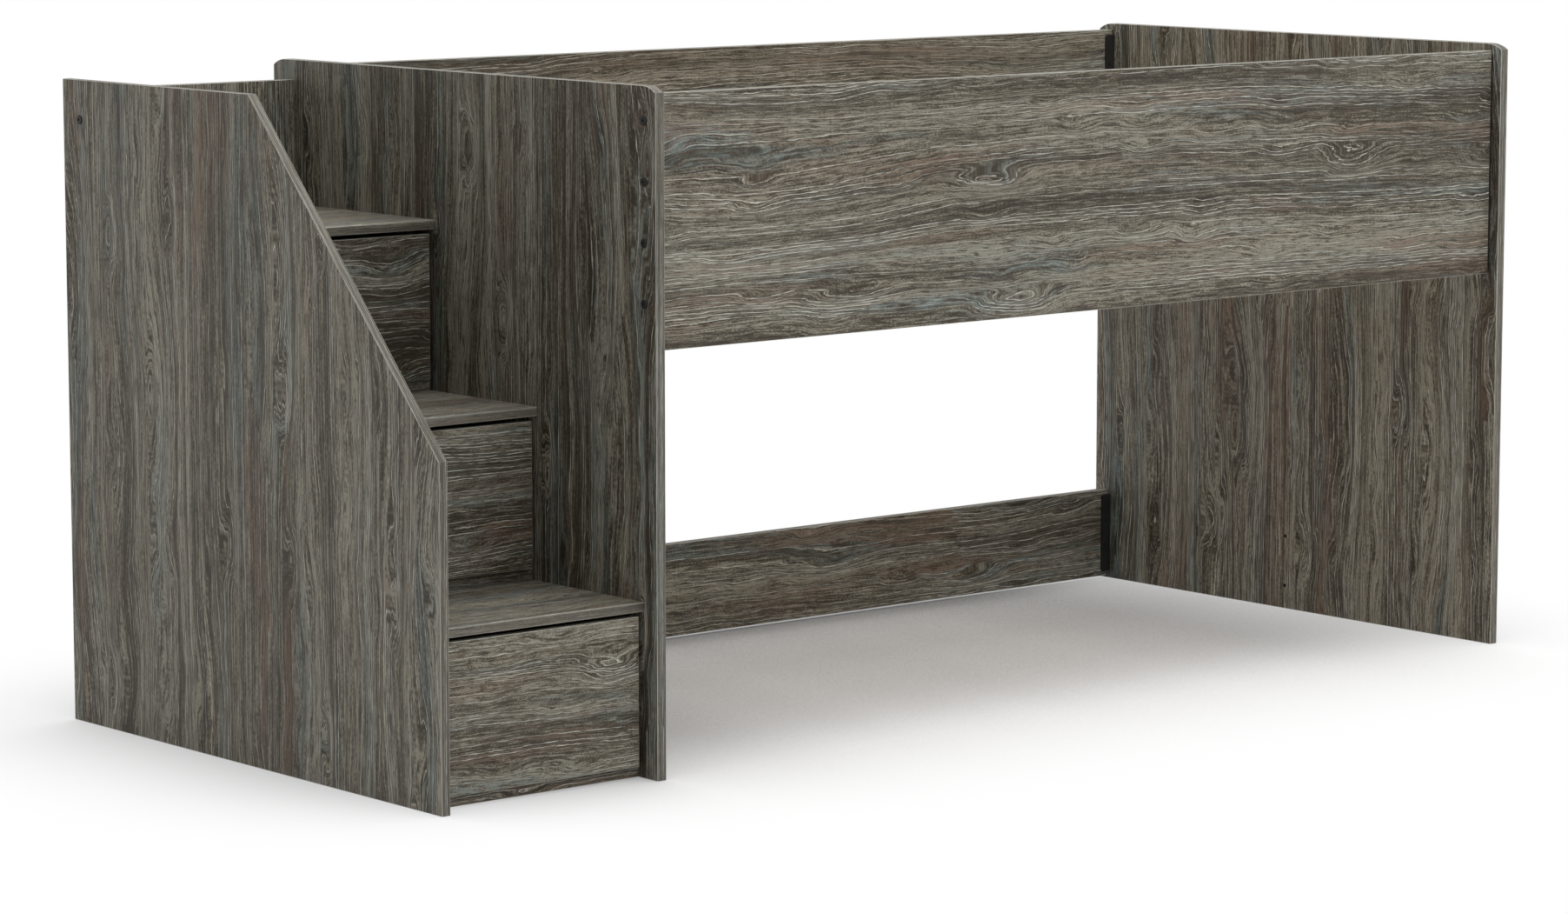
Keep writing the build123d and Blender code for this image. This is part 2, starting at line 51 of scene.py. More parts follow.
# Sheet of the print that each board is cut from, and metres from one sheet to the next, along and across
SHEETS = {
    "headboard": 1, "footboard": 2, "stair side": 3, "stair back": 4,
    "front rail": 5, "rear rail": 6, "stretcher": 7,
    "lower tread": 8, "middle tread": 9, "upper tread": 10,
    "lower step rail": 11, "middle step rail": 12, "upper step rail": 13,
    "lower drawer": 74, "middle drawer": 75, "upper drawer": 76,
}
SHEET_SHIFT = (1.37, 0.71)

# Painted light and shade: boards made lighter or darker than the rest for how much light reaches them, so the
# recessed middle and upper drawer fronts are darker and the higher treads lighter
BOARD_LIGHT_AND_SHADE = {
    "lower tread": -0.05, "middle tread": 0.05, "upper tread": 0.09,
    "lower drawer": 0.06, "middle drawer": -0.20, "upper drawer": -0.23,
}

# Streaks of the print: repeats per metre along and across the board, layer, and detail of the noise
STREAKS = {
    "slow wave": (0.9, 4.0, 0.0, 1.0),
    "quick wave": (4.5, 20.0, 1.7, 1.0),
    "ripple": (17.0, 55.0, 2.3, 1.0),
    "ring tremor": (60.0, 160.0, 2.9, 1.0),
    "ring presence": (2.4, 11.0, 4.1, 2.0),
    "ring breaks": (45.0, 380.0, 5.3, 1.0),
    "fine fibres": (26.0, 430.0, 6.1, 1.0),
    "flecks": (75.0, 230.0, 6.7, 1.0),
    "middle streaks": (8.0, 260.0, 7.3, 1.0),
    "ticks": (330.0, 560.0, 7.9, 0.0),
    "wide streaks": (2.6, 90.0, 8.1, 2.0),
    "broad bands": (0.8, 15.0, 8.9, 2.0),
    "warm patches": (1.9, 17.0, 9.7, 3.0),
    "cool patches": (1.9, 19.0, 11.3, 3.0),
    "smoky patches": (2.4, 36.0, 12.9, 3.0),
    "pores": (55.0, 420.0, 13.7, 1.0),
    "rubbing": (9.0, 60.0, 15.1, 1.0),
    "emboss": (24.0, 560.0, 16.3, 1.0),
}
LAYER_GAP = 7.7

# Metres by which waves push the rings aside, and by which they bend and skew the bulges
WAVE_PUSH = {"slow wave": 0.055, "quick wave": 0.011, "ripple": 0.0045}
BULGE_BEND = 0.035
BULGE_SKEW = 0.05

# Bulges in the rings: layer, share of cells that hold one, reach in cells, least and most rise in rings
KNOTS = {"layer": 0.0, "share": 0.30, "reach": 0.36, "least": 2.5, "most": 5.5}
ARCHES = {"layer": 7.4, "share": 0.80, "reach": 0.62, "least": 2.5, "most": 6.5}
PINS = {"layer": 3.3, "share": 0.50, "reach": 0.50, "least": 0.8, "most": 1.7}
PIN_CELL = (0.17, 0.048)
CELL_SCATTER = 0.85
ARCH_WEIGHT = 0.8

# Ring lines: place in the ring and thickness, both in rings
LIME_LINE = (0.0, 0.34)
BETWEEN_LINE = (0.47, 0.22)
SHADOW_LINE = (0.19, 0.36)
BETWEEN_STRENGTH = 0.28
LINE_EDGE = (1.0, 0.2)
RING_TREMOR = 0.35
RING_CROWDING = (0.30, 2.5)
RING_NUDGE = 0.0005

# Shares at two levels of noise: where rings show, break off, are strong or weak, and where arrises carry
# rubbed wear and a painted highlight
RING_PRESENCE = (0.36, 0.60, 0.45, 1.0)
RING_BREAKS = (0.36, 0.56, 0.25, 1.0)
RING_STRENGTH = (0.20, 0.75, 0.10, 1.0)
ARRIS_WEAR_AND_HIGHLIGHT = (0.25, 0.60, 0.60, 1.0)

# Levels of nearness to a bulge: rings come in, warm patches thin out, and a knot's heart begins
BULGE_RINGS = (0.05, 0.45)
BULGE_CLEAR = (0.50, 0.05, 0.25, 1.0)
HEART = (0.70, 1.0)

# How far each layer of fibres moves the tone of the wood, and where dark, body and pale lie on that scale
FIBRE_PUSH = {"fine fibres": 1.7, "flecks": 0.55, "ticks": 0.85, "middle streaks": 1.05, "broad bands": 1.80}
TONE_MIDDLE = 0.5
TONE_STOPS = (0.02, 0.48, 0.95)

# Levels of noise between which patches and pores come in
PATCH_LEVELS = {
    "warm patches": (0.48, 0.72), "cool patches": (0.51, 0.73), "smoky patches": (0.53, 0.75),
    "pores": (0.57, 0.70),
}
WARM_STREAKS = (0.30, 0.65)
COOL_FIBRES = (0.25, 0.75)

# How much of the wood each coat of the print hides at most
COVER = {
    "warm patches": 0.80, "cool patches": 0.60, "smoky patches": 0.60, "pores": 0.75, "edge band": 0.42,
    "ring shadow": 0.58, "ring lime": 0.92,
}

# Surface of the print: roughness, what middle streaks and lime add to it, strength of the emboss, and shine
PRINT_ROUGHNESS = 0.46
STREAK_ROUGHNESS = 0.22
LIME_ROUGHNESS = 0.16
EMBOSS_STRENGTH = 0.55
PRINT_SPECULAR = 0.32

# Faces of a board: how squarely they look along its axes, and what the banded edges do to the grain
END_FACING = 0.72
EDGE_FACING = 0.60
EDGE_DENSITY = 2.0
EDGE_CALM = 0.80
EDGE_LINES = 0.50
ARRIS_FROM_EDGE = (0.10, 0.35)
ARRIS_FROM_FACE = (0.98, 0.90)

# Spare holes low on the footboard: places across and up, radius, and reach of the painted shade around them
# in radii
SPARE_HOLES = ((0.0, 0.044), (0.0, 0.140))
SPARE_HOLE_RADIUS = 0.0025
HOLE_SHADE = (1.60, 1.20)

# Planed wood: repeats per metre along and across the board, layer, detail and roughness of its noise
WOOD_WAVE = (2.0, 8.0, 1.0, 2.0, 0.5)
WOOD_FIBRE = (14.0, 700.0, 2.0, 3.0, 0.6)
WOOD_CLOUD = (1.2, 9.0, 4.0, 2.0, 0.5)

# Its knots: cells that may hold one, share that do, edge and swell in cells, rings bent aside, and cover
KNOT_CELL = (0.24, 0.11)
KNOT_SHARE = 0.30
KNOT_EDGE = (0.11, 0.06)
KNOT_SWELL = (0.45, 0.0)
KNOT_RINGS = 4.0
KNOT_COVER = 0.85

# Its rings: how many per metre, how many a wave pushes aside, and where late wood begins and ends in a ring
WOOD_RINGS = 130.0
WAVE_RINGS = 7.0
LATE_START = (0.35, 0.95)
LATE_END = (1.0, 0.95)
LATE_COVER = 0.50

# Its other layers: dark fibres and clouds, arrises lightened as a painted highlight, gloss and relief
FIBRE_COVER = 0.40
FIBRE_START = -0.12
CLOUD_COVER = (0.40, 0.70, 0.0, 0.45)
ARRIS_COVER = 0.35
WOOD_ROUGHNESS = 0.48
FIBRE_ROUGHNESS = 0.25
FIBRE_RELIEF = 0.7
WOOD_DEPTH = 0.0003
WOOD_SPECULAR = 0.35

# Drawer boxes: repeats per metre of the foil's two ways of threads, its clouds and the hardboard's fibres
FOIL_THREADS = ((60.0, 60.0, 900.0), (900.0, 900.0, 60.0))
FOIL_CLOUDS = 7.0
HARDBOARD_FIBRES = 260.0

# Their tone: plain share of foil colour, what threads and clouds add, gloss, relief and the raw underside
FOIL_SHARE = 0.86
THREAD_SHARE = 0.55
CLOUD_SHARE = 0.25
FOIL_ROUGHNESS = 0.42
CLOUD_ROUGHNESS = 0.25
FOIL_DEPTH = 0.00015
HARDBOARD_LEVELS = (0.30, 0.72)
UNDERSIDE = -0.5

# Coated steel: repeats per metre of its clouds and peel, and of the rubbing on each axis
STEEL_CLOUDS = 38.0
STEEL_PEEL = 1900.0
STEEL_RUBBING = (420.0, 420.0, 90.0)

# Its wear: where an arris begins, where it is rubbed and how far, and what clouds and rubbing do to the sheen
STEEL_ARRIS = (0.985, 0.80)
ARRIS_RUB = (0.45, 0.70)
ARRIS_WEAR = 0.45
CLOUD_WEAR = (0.25, 0.78, 0.0, 0.30)
CLOUD_SHEEN = 0.30
RUB_LEVELS = (0.5, 0.8)
RUB_SHEEN = -0.10

# Studio: half the width of the floor, its drop below the feet, height that the lamps aim at, and the camera
FLOOR_REACH = 60.0
FLOOR_DROP = 0.0006
NOOK_SAMPLES = 8
AIM_HEIGHT = 0.5
FILM_WIDTH = 36.0
CLIP_END = 200.0


def eye_colour(red, green, blue):
    """Linear colour of a tone given as it looks on screen, 0 to 255."""
    linear = []
    for level in (red, green, blue):
        share = level / 255.0
        linear.append(share / 12.92 if share <= 0.04045 else ((share + 0.055) / 1.055) ** 2.4)
    return tuple(linear)


def colour_property(name, description, tone):
    """Colour that a user may change, with its default given as it looks on screen."""
    return bpy.props.FloatVectorProperty(
        name=name, description=description, subtype="COLOR", size=3, min=0.0, max=1.0,
        default=eye_colour(*tone),
    )


def length_property(name, description, default, least, most):
    """Length in metres that a user may change."""
    return bpy.props.FloatProperty(
        name=name, description=description, default=default, min=least, max=most, unit="LENGTH"
    )


def power_property(name, description, default):
    """Power of a lamp in watts."""
    return bpy.props.FloatProperty(
        name=name, description=description, default=default, min=0.0, max=5000.0, unit="POWER"
    )


def place_property(name, description, default):
    """Place or size on the three axes of the shared frame, in metres."""
    return bpy.props.FloatVectorProperty(
        name=name, description=description, default=default, size=3, subtype="TRANSLATION", unit="LENGTH"
    )


def angle_property(name, description, degrees):
    """Angle that a user may change, with its default in degrees."""
    return bpy.props.FloatProperty(
        name=name, description=description, default=math.radians(degrees), subtype="ANGLE"
    )


class LoftBedWood(bpy.types.PropertyGroup):
    """Colours and grain of the laminate, the pine support and the beech dowels."""

    body: colour_property("Body", "Main tone of the weathered oak", (93, 87, 74))
    dark: colour_property("Dark streaks", "Deepest brown of the grain", (47, 39, 27))
    pale: colour_property("Pale fibres", "Lightest tone between the pores", (134, 129, 115))
    # Also the colour of the pale arris lines, partly rubbed wear and partly a painted highlight
    lime: colour_property("Limed pores", "Whitish filler left in the ring lines", (189, 188, 178))
    rust: colour_property("Warm streaks", "Reddish brown streaks", (108, 86, 71))
    slate: colour_property("Cool streaks", "Blue-grey streaks", (93, 114, 117))
    edge: colour_property("Edge band", "Tone of the banded edges", (84, 82, 75))
    # Painted shade: near-black colour laid in and around the spare holes
    core: colour_property("Painted hole shade", "Painted shade in and around the spare holes", (6, 5, 5))
    ring_gap: length_property("Ring gap", "Usual distance between two ring lines", 0.0066, 0.002, 0.05)
    pore_depth: length_property("Pore depth", "Depth of the embossed pores", 0.0004, 0.0, 0.002)
    pine: colour_property("Pine", "Tone of the slats and ledgers", (216, 192, 152))
    pine_ring: colour_property("Pine rings", "Tone of the pine's late wood", (188, 150, 102))
    knot: colour_property("Knots", "Tone of the small knots in plain wood", (118, 76, 44))
    beech: colour_property("Beech", "Tone of the dowels", (204, 172, 132))
    beech_ring: colour_property("Beech rings", "Tone of the beech's late wood", (168, 130, 92))


class LoftBedFinishes(bpy.types.PropertyGroup):
    """Colours of the hardware and of the drawer boxes, new and where they are worn."""

    bracket: colour_property("Brackets", "Black powder coat of the corner brackets", (13, 13, 14))
    bracket_worn: colour_property("Worn brackets", "Rubbed powder coat", (34, 33, 32))
    bolt: colour_property("Bolts", "Dark oxide of the bolts and bracket screws", (9, 8, 7))
    bolt_worn: colour_property("Worn bolts", "Rubbed dark oxide", (30, 27, 24))
    zinc: colour_property("Zinc", "Plating of the nuts, cams and wood screws", (192, 194, 196))
    zinc_worn: colour_property("Worn zinc", "Dulled plating", (150, 150, 148))
    runner: colour_property("Runners", "White coat of the drawer runners", (222, 221, 216))
    runner_worn: colour_property("Worn runners", "Rubbed white coat", (186, 184, 178))
    foil: colour_property("Drawer foil", "Grey foil of the drawer boxes", (150, 147, 141))
    foil_thread: colour_property("Foil threads", "Dark threads of the woven print", (70, 68, 64))
    hardboard: colour_property("Hardboard", "Raw underside of the drawer floors", (128, 98, 70))
    hardboard_fibre: colour_property("Hardboard fibres", "Dark fibres of the underside", (84, 60, 42))


class LoftBedStudio(bpy.types.PropertyGroup):
    """Light, floor and camera."""

    floor: colour_property("Floor", "Colour of the studio floor", (236, 236, 236))
    floor_lift: bpy.props.FloatProperty(
        name="Floor lift", description="How much brighter the floor looks to the camera, to read as white",
        default=1.20, min=1.0, max=3.0,
    )
    floor_shade: bpy.props.FloatProperty(
        name="Floor shade", description="Strength of the soft shade close to the bed",
        default=0.90, min=0.0, max=1.0, subtype="FACTOR",
    )
    shade_reach: length_property("Shade reach", "How far the bed shades the floor", 1.3, 0.1, 5.0)
    shade_middle: place_property("Shade middle", "Middle of the floor with full shade", (0.0, 0.10, 0.0))
    shade_half: place_property("Shade half size", "Half the size of that floor", (0.75, 0.20, 0.0))
    shade_fade: length_property("Shade fade", "Distance over which the floor then turns white", 1.0, 0.1, 5.0)
    sky: bpy.props.FloatProperty(
        name="Room light", description="Strength of the even light from all round",
        default=0.53, min=0.0, max=2.0,
    )
    key: power_property("Front lamp", "Power of the large soft lamp at the front", 147.0)
    key_place: place_property("Front lamp place", "Where the front lamp hangs", (0.4, -5.6, 3.9))
    key_size: length_property("Front lamp size", "Side of the square front lamp", 4.0, 0.1, 20.0)
    top: power_property("Top lamp", "Power of the large soft lamp overhead", 224.0)
    top_place: place_property("Top lamp place", "Where the top lamp hangs", (0.1, 0.4, 5.5))
    top_size: length_property("Top lamp size", "Side of the square top lamp", 5.0, 0.1, 20.0)
    lens: bpy.props.FloatProperty(
        name="Lens", description="Focal length of the camera in millimetres",
        default=113.41, min=20.0, max=300.0,
    )
    camera_place: place_property("Camera place", "Where the camera stands", (-5.58823, -6.54172, 1.56849))
    camera_heading: angle_property("Camera heading", "Turn of the view from the wall to the foot end", 40.13)
    camera_pitch: angle_property("Camera pitch", "Tilt of the view below the horizon", 7.75)


class NodeBench:
    """Adds linked nodes to one tree, so that a finish reads as a list of its layers."""

    def __init__(self, tree):
        self.tree = tree
        self.surface = None

    def add(self, kind, **settings):
        node = self.tree.nodes.new(kind)
        for name, value in settings.items():
            setattr(node, name, value)
        return node

    def feed(self, socket, value):
        """Link a socket to another one, or give it a plain value."""
        if isinstance(value, bpy.types.NodeSocket):
            self.tree.links.new(value, socket)
        elif hasattr(value, "__len__") and len(value) == 3 and len(socket.default_value) == 4:
            socket.default_value = (*value, 1.0)
        else:
            socket.default_value = value

    def feed_all(self, sockets, values):
        for socket, value in zip(sockets, values):
            self.feed(socket, value)

    def math(self, operation, first, second=0.0, third=0.0):
        node = self.add("ShaderNodeMath", operation=operation)
        self.feed_all(node.inputs, (first, second, third))
        return node.outputs[0]

    def chain(self, operation, first, *others):
        """One operation carried through several values in turn."""
        for other in others:
            first = self.math(operation, first, other)
        return first

    def total(self, *values):
        return self.chain("ADD", *values)

    def product(self, *values):
        return self.chain("MULTIPLY", *values)

    def largest(self, *values):
        return self.chain("MAXIMUM", *values)

    def diagonal(self, *sides):
        """Distance whose sides along the axes are given."""
        return self.math("SQRT", self.total(*(self.product(side, side) for side in sides)))

    def place(self, x, y, z=0.0):
        node = self.add("ShaderNodeCombineXYZ")
        self.feed_all(node.inputs, (x, y, z))
        return node.outputs[0]

    def parts(self, vector):
        node = self.add("ShaderNodeSeparateXYZ")
        self.feed(node.inputs[0], vector)
        return dict(zip("XYZ", node.outputs))

    def coords(self, kind):
        """Place or facing of the surface on its piece; one node serves the whole tree."""
        if self.surface is None:
            self.surface = self.add("ShaderNodeTexCoord")
        return self.surface.outputs[kind]

    def facing(self):
        """How squarely the surface faces each axis of the piece, from 0 to 1."""
        return {axis: self.math("ABSOLUTE", part) for axis, part in self.parts(self.coords("Normal")).items()}

    def stretched(self, scales):
        """Place on the piece, with each axis scaled by its own number."""
        position = self.parts(self.coords("Object"))
        return self.place(*(self.product(position[axis], scale) for axis, scale in zip("XYZ", scales)))

    def noise(self, vector, detail=2.0, roughness=0.5, scale=1.0, flat=False):
        node = self.add("ShaderNodeTexNoise", noise_dimensions="2D" if flat else "3D")
        self.feed(node.inputs["Vector"], vector)
        node.inputs["Scale"].default_value = scale
        node.inputs["Detail"].default_value = detail
        node.inputs["Roughness"].default_value = roughness
        return node.outputs[0]

    def cells(self, place, scatter=1.0):
        """Scattered cells: how far the nearest middle is, and numbers drawn for its cell."""
        node = self.add("ShaderNodeTexVoronoi", voronoi_dimensions="2D", feature="F1")
        self.feed(node.inputs["Vector"], place)
        node.inputs["Scale"].default_value = 1.0
        node.inputs["Randomness"].default_value = scatter
        return node.outputs["Distance"], self.parts(node.outputs["Color"])

    def step(self, value, low, high, to_low=0.0, to_high=1.0):
        """Smooth change from one value to another between two levels."""
        node = self.add("ShaderNodeMapRange", interpolation_type="SMOOTHSTEP")
        names = ("Value", "From Min", "From Max", "To Min", "To Max")
        self.feed_all((node.inputs[name] for name in names), (value, low, high, to_low, to_high))
        return node.outputs[0]

    def pick(self, share, first, second):
        """Plain number between two numbers."""
        node = self.add("ShaderNodeMix", data_type="FLOAT")
        self.feed_all((node.inputs[0], node.inputs[2], node.inputs[3]), (share, first, second))
        return node.outputs[0]

    def paint(self, share, under, over, way="MIX"):
        """Colour laid over another colour."""
        node = self.add("ShaderNodeMix", data_type="RGBA", blend_type=way)
        self.feed_all((node.inputs[0], node.inputs[6], node.inputs[7]), (share, under, over))
        return node.outputs[2]

    def blend(self, share, first, second):
        """Surface between two surfaces."""
        node = self.add("ShaderNodeMixShader")
        self.feed_all(node.inputs, (share, first, second))
        return node.outputs[0]

    def ramp(self, share, stops):
        """Colour scale; each stop is a place and a colour."""
        node = self.add("ShaderNodeValToRGB")
        self.feed(node.inputs[0], share)
        scale = node.color_ramp
        while len(scale.elements) < len(stops):
            scale.elements.new(0.5)
        for element, (place, colour) in zip(scale.elements, stops):
            element.position = place
            element.color = (*colour, 1.0)
        return node.outputs[0]

    def bump(self, height, distance, strength=0.5):
        node = self.add("ShaderNodeBump")
        node.inputs["Strength"].default_value = strength
        node.inputs["Distance"].default_value = distance
        self.feed(node.inputs["Height"], height)
        return node.outputs[0]

    def seen(self):
        """Rays that show a surface to the camera, and those of them that come straight from it."""
        rays = self.add("ShaderNodeLightPath").outputs
        straight = rays["Is Camera Ray"]
        return self.largest(straight, rays["Is Glossy Ray"], rays["Is Transmission Ray"]), straight


def new_finish(name):
    """Empty material with one surface shader."""
    finish = bpy.data.materials.new(name)
    finish.use_nodes = True
    bench = NodeBench(finish.node_tree)
    shader = finish.node_tree.nodes["Principled BSDF"]
    return finish, bench, shader


def dress(nodes, finish):
    """Give the named CAD pieces one finish."""
    for name in nodes:
        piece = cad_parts[name]
        piece.data.materials.clear()
        piece.data.materials.append(finish)


def board_grain(bench, along, across, shift=(0.0, 0.0)):
    """Where the surface lies on the print of a board; the bands on its edges run lengthwise."""
    thick = next(axis for axis in "XYZ" if axis not in (along, across))
    position = bench.parts(bench.coords("Object"))
    facing = bench.facing()
    on_end = bench.math("GREATER_THAN", facing[along], END_FACING)
    on_edge = bench.math("LESS_THAN", facing[thick], EDGE_FACING)
    lengthwise = bench.pick(on_end, position[along], position[across])
    crosswise = bench.pick(on_edge, position[across], bench.product(position[thick], EDGE_DENSITY))
    past_edge = bench.step(facing[thick], *ARRIS_FROM_EDGE)
    short_of_face = bench.step(facing[thick], *ARRIS_FROM_FACE)
    return {
        "Along": bench.total(lengthwise, shift[0]),
        "Across": bench.total(crosswise, shift[1]),
        "Edge": on_edge,
        "Arris": bench.product(past_edge, short_of_face),
    }


class OakPrint:
    """Limed, greyed oak print in one node group, which every laminate board shares."""

    def __init__(self, wood):
        self.wood = wood
        self.tree = bpy.data.node_groups.new(OAK_PRINT, "ShaderNodeTree")
        for name in OAK_INPUTS:
            self.tree.interface.new_socket(name, in_out="INPUT", socket_type="NodeSocketFloat")
        for name, kind in OAK_OUTPUTS.items():
            self.tree.interface.new_socket(name, in_out="OUTPUT", socket_type=kind)
        self.bench = NodeBench(self.tree)
        self.given = self.bench.add("NodeGroupInput").outputs
        self.drawn_out = self.bench.math("DIVIDE", self.given["Along"], self.given["Stretch"])
        self.calm = self.bench.math("MULTIPLY_ADD", self.given["Edge"], -EDGE_CALM, 1.0)
        self.flow, self.near_knot, near_arch = self.ring_flow(self.given["Across"])
        self.near_bulge = self.bench.largest(self.near_knot, self.bench.product(near_arch, ARCH_WEIGHT))

    def streak(self, name, across=None, roughness=0.6):
        """One of the named streaks, straight across the board or along a given flow of the rings."""
        per_length, per_width, layer, detail = STREAKS[name]
        if across is None:
            across = self.given["Across"]
        along = self.bench.math("MULTIPLY_ADD", self.drawn_out, per_length, layer * LAYER_GAP)
        place = self.bench.place(along, self.bench.product(across, per_width))
        return self.bench.noise(place, detail, roughness, flat=True)

    def swing(self, value, gain):
        """Noise as a push to either side."""
        return self.bench.product(self.bench.math("SUBTRACT", value, 0.5), gain)

    def bulges(self, along, across, length, width, layer, share, reach, least, most):
        """Scattered oval bulges in the rings: their height in rings, and how near the surface is to one."""
        bench = self.bench
        lengthwise = bench.total(bench.math("DIVIDE", along, length), layer)
        place = bench.place(lengthwise, bench.math("DIVIDE", across, width))
        distance, lot = bench.cells(place, CELL_SCATTER)
        chosen = bench.math("LESS_THAN", lot["X"], share)
        near = bench.product(bench.step(distance, reach, 0.0), chosen)
        return bench.product(near, bench.pick(lot["Y"], least, most)), near

    def ring_flow(self, across):
        """Place across the board once waves, knots, arches and pins have pushed the rings aside."""
        bench = self.bench
        given = self.given
        waves = {name: self.streak(name, across) for name in WAVE_PUSH}
        bent = bench.total(across, self.swing(waves["quick wave"], BULGE_BEND))
        skewed = bench.total(given["Along"], self.swing(waves["ripple"], BULGE_SKEW))
        knot_rise, near_knot = self.bulges(skewed, bent, given["Knot length"], given["Knot width"], **KNOTS)
        arch_rise, near_arch = self.bulges(skewed, bent, given["Arch length"], given["Arch width"], **ARCHES)
        pin_rise = self.bulges(skewed, bent, *PIN_CELL, **PINS)[0]
        rise = bench.total(knot_rise, arch_rise, pin_rise)
        push = bench.total(*(self.swing(waves[name], reach) for name, reach in WAVE_PUSH.items()))
        push = bench.math("MULTIPLY_ADD", rise, self.wood.ring_gap, bench.product(push, given["Wave"]))
        return bench.math("MULTIPLY_ADD", push, self.calm, across), near_knot, near_arch

    def ring_width(self):
        """Thickness of a ring line against the usual one, which keeps it even where the rings crowd."""
        bench = self.bench
        beside = self.ring_flow(bench.total(self.given["Across"], RING_NUDGE))[0]
        slope = bench.product(bench.math("SUBTRACT", beside, self.flow), 1.0 / RING_NUDGE)
        least, most = RING_CROWDING
        return bench.math("MINIMUM", bench.largest(bench.math("ABSOLUTE", slope), least), most)

    def ring_presence(self, rings):
        """How strongly each ring shows: by its own number, in stretches, near a bulge and on an edge."""
        bench = self.bench
        drawn = bench.add("ShaderNodeTexWhiteNoise", noise_dimensions="1D")
        bench.feed(drawn.inputs["W"], bench.math("FLOOR", rings))
        present = bench.largest(
            bench.step(self.streak("ring presence"), *RING_PRESENCE),
            bench.step(self.near_bulge, *BULGE_RINGS),
            bench.product(self.given["Edge"], EDGE_LINES),
        )
        return bench.product(present, bench.step(drawn.outputs["Value"], *RING_STRENGTH))

    def ring_lines(self):
        """Broken whitish lines in and between the rings, and the dark line beside each."""
        bench = self.bench
        rings = bench.product(self.flow, 1.0 / self.wood.ring_gap)
        rings = bench.total(rings, self.swing(self.streak("ring tremor"), RING_TREMOR))
        width = self.ring_width()
        present = self.ring_presence(rings)

        def line(place, thickness):
            turn = bench.math("FRACT", bench.total(rings, place))
            away = bench.math("ABSOLUTE", bench.math("MULTIPLY_ADD", turn, 2.0, -1.0))
            away = bench.math("DIVIDE", away, bench.product(width, thickness))
            return bench.product(bench.step(away, *LINE_EDGE), present, self.given["Lime"])

        between = bench.product(line(*BETWEEN_LINE), BETWEEN_STRENGTH)
        broken = bench.step(self.streak("ring breaks"), *RING_BREAKS)
        return bench.product(bench.largest(line(*LIME_LINE), between), broken), line(*SHADOW_LINE)

    def fibre_tone(self, fibres):
        """Colour of the plain wood from its fibres, between dark and pale."""
        # The given tone carries the board's painted light and shade
        level = self.bench.total(
            self.given["Tone"],
            TONE_MIDDLE,
            *(self.swing(fibres[name], push) for name, push in FIBRE_PUSH.items()),
            self.swing(self.streak("wide streaks", self.flow), self.given["Bands"]),
        )
        tones = (self.wood.dark, self.wood.body, self.wood.pale)
        return self.bench.ramp(level, tuple(zip(TONE_STOPS, tones)))

    def patch(self, name, roughness=0.6):
        """Share of the wood that a kind of patch or pore hides."""
        return self.bench.step(self.streak(name, self.flow, roughness), *PATCH_LEVELS[name], 0.0, COVER[name])

    def build(self):
        """Lay the coats of the print over one another, then its gloss and its embossed pores."""
        bench = self.bench
        given = self.given
        wood = self.wood
        line, shadow = self.ring_lines()
        fibres = {name: self.streak(name, self.flow) for name in FIBRE_PUSH}
        middle = fibres["middle streaks"]
        warm = bench.product(self.patch("warm patches"), bench.step(self.near_bulge, *BULGE_CLEAR))
        cool = self.patch("cool patches")
        # Where the arris wear and its painted highlight show
        rubbed = bench.step(self.streak("rubbing"), *ARRIS_WEAR_AND_HIGHLIGHT)
        coats = (
            (bench.product(warm, bench.step(middle, *WARM_STREAKS)), wood.rust),
            (bench.product(cool, bench.step(fibres["fine fibres"], *COOL_FIBRES)), wood.slate),
            (self.patch("smoky patches", roughness=0.7), wood.dark),
            (bench.step(self.near_knot, *HEART, 0.0, given["Heart"]), wood.dark),
            (self.patch("pores"), wood.dark),
            (bench.product(given["Edge"], COVER["edge band"]), wood.edge),
            (bench.product(shadow, COVER["ring shadow"]), wood.dark),
            (bench.product(line, COVER["ring lime"]), wood.lime),
            # Pale arris lines: rubbed wear, and a painted highlight along the rounded edges
            (bench.product(given["Arris"], rubbed, given["Rubbed"]), wood.lime),
        )
        colour = self.fibre_tone(fibres)
        for share, tone in coats:
            colour = bench.paint(share, colour, tone)

        made = bench.add("NodeGroupOutput").inputs
        bench.feed(made["Colour"], colour)
        gloss = bench.math("MULTIPLY_ADD", middle, STREAK_ROUGHNESS, PRINT_ROUGHNESS)
        bench.feed(made["Roughness"], bench.math("MULTIPLY_ADD", line, LIME_ROUGHNESS, gloss))
        wave = self.swing(self.streak("slow wave"), WAVE_PUSH["slow wave"])
        eased = bench.total(given["Across"], bench.product(wave, given["Wave"]))
        pores = self.streak("emboss", eased)
        bench.feed(made["Normal"], bench.bump(pores, wood.pore_depth, EMBOSS_STRENGTH))
        return self.tree


def bored(bench, colour, axes, hole):
    """Painted shade, near black, in and close around a small drilled hole, at its place on two axes."""
    position = bench.parts(bench.coords("Object"))
    sides = [bench.math("SUBTRACT", position[axis], middle) for axis, middle in zip(axes, hole)]
    outer, inner = (SPARE_HOLE_RADIUS * reach for reach in HOLE_SHADE)
    share = bench.step(bench.diagonal(*sides), outer, inner)
    return bench.paint(share, colour, bpy.context.scene.loft_bed_wood.core)


